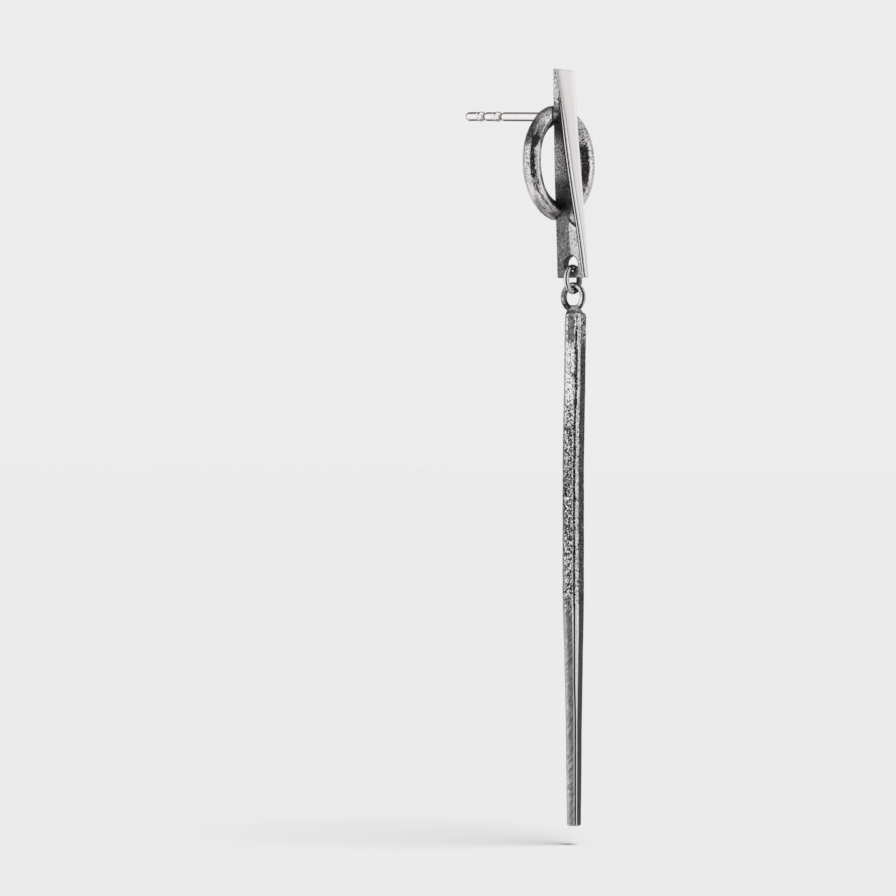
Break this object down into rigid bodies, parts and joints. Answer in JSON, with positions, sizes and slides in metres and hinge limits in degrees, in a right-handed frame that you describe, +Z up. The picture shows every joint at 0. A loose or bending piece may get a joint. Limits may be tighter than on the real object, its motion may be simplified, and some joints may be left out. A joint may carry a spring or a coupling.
{
  "type": "dangle earring",
  "caption": "Long drop earring in darkened silver: a tapering wedge with a round ring and an ear post on its back, and a slender textured bar hanging below on a jump ring.",
  "frame": {"origin": "on the ear post's axis, where the post leaves the back of the round ring and the ear lobe sits", "axes": "+Y straight out of the ring's back into the lobe, where the post rises 2.7 degrees from it towards its tip, -Y to the front, +Z up, the drop hangs down along -Z"},
  "size_m": [0.0114, 0.0145, 0.0755],
  "materials": {
    "polished_silver": "polished front face, darkened sides",
    "bright_silver": "bright drawn wire",
    "dark_silver": "blackened and rubbed back on the high places"
  },
  "bodies": {
    "stud": {"ear_stud": "polished_silver"},
    "ring": {"jump_ring": "bright_silver"},
    "drop": {"drop_bar": "dark_silver"}
  },
  "joints": [
    {"name": "side_swing", "type": "hinge", "parent": "stud", "child": "ring", "pos_m": [0, -0.00266, -0.01633], "axis": [0, 1, 0], "range_deg": [-60, 60]},
    {"name": "front_swing", "type": "hinge", "parent": "ring", "child": "drop", "pos_m": [0, -0.00266, -0.01752], "axis": [1, 0, 0], "range_deg": [-60, 60]}
  ]
}
